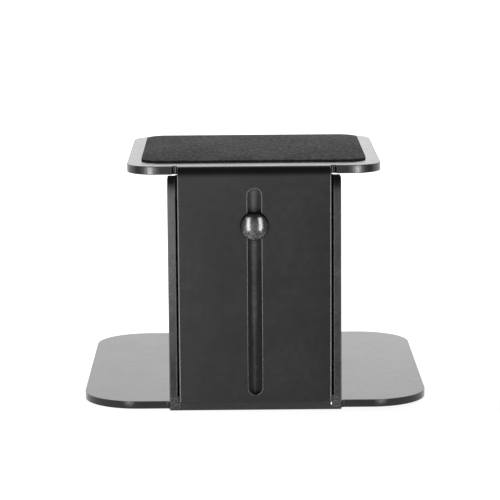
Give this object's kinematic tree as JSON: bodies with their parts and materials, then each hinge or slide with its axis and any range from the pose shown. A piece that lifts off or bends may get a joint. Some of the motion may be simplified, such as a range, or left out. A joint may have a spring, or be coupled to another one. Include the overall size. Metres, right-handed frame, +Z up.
{
  "type": "height adjustable desktop stand",
  "caption": "Black steel C-shaped desktop stand: a padded top plate on a slotted panel that slides in a column on a rounded base plate, held by a bolt and a clamping knob.",
  "frame": {"origin": "floor level under the middle of the stand's overall box, with the top bracket in its lowest position", "axes": "+Z up; the column and its slotted panel are on the -Y side and face -Y; both plates reach from the column towards +Y; +X to the right seen from the -Y side"},
  "size_m": [0.203, 0.213, 0.1457],
  "materials": {
    "black_steel": "satin black powder coat",
    "bracket_steel": "satin black powder coat",
    "weld": "coated weld bead",
    "foot_rubber": "matte",
    "pad_foam": "matte fine-grained foam sheet",
    "bolt_metal": "black nickel",
    "washer_metal": "zinc plated",
    "knob_plastic": "matte black",
    "insert_metal": "machined"
  },
  "bodies": {
    "base": {"base_plate": "black_steel", "column_plate": "black_steel", "side_rail_left": "black_steel", "side_rail_right": "black_steel", "weld_front_left": "weld", "weld_front_right": "weld", "weld_column": "weld", "weld_rail_left": "weld", "weld_rail_right": "weld", "foot_front_left": "foot_rubber", "foot_front_right": "foot_rubber", "foot_rear_left": "foot_rubber", "foot_rear_right": "foot_rubber", "carriage_bolt": "bolt_metal"},
    "bracket": {"top_bracket": "bracket_steel", "top_pad": "pad_foam"},
    "washers": {"flat_washer": "washer_metal", "spring_washer": "washer_metal"},
    "knob": {"knob_body": "knob_plastic", "knob_insert": "insert_metal"}
  },
  "joints": [
    {"name": "height_slide", "type": "slide", "parent": "base", "child": "bracket", "axis": [0, 0, 1], "range_m": [0, 0.0915]},
    {"name": "washer_travel", "type": "slide", "parent": "base", "child": "washers", "axis": [0, 1, 0], "range_m": [0, 0.00201]},
    {"name": "knob_turn", "type": "hinge", "parent": "washers", "child": "knob", "pos_m": [0, -0.08885, 0.1103], "axis": [0, 1, 0], "range_deg": [0, 720]}
  ],
  "couplings": [
    {"joint": "washer_travel", "follows": "knob_turn", "m_per_rad": 0.00015915}
  ]
}
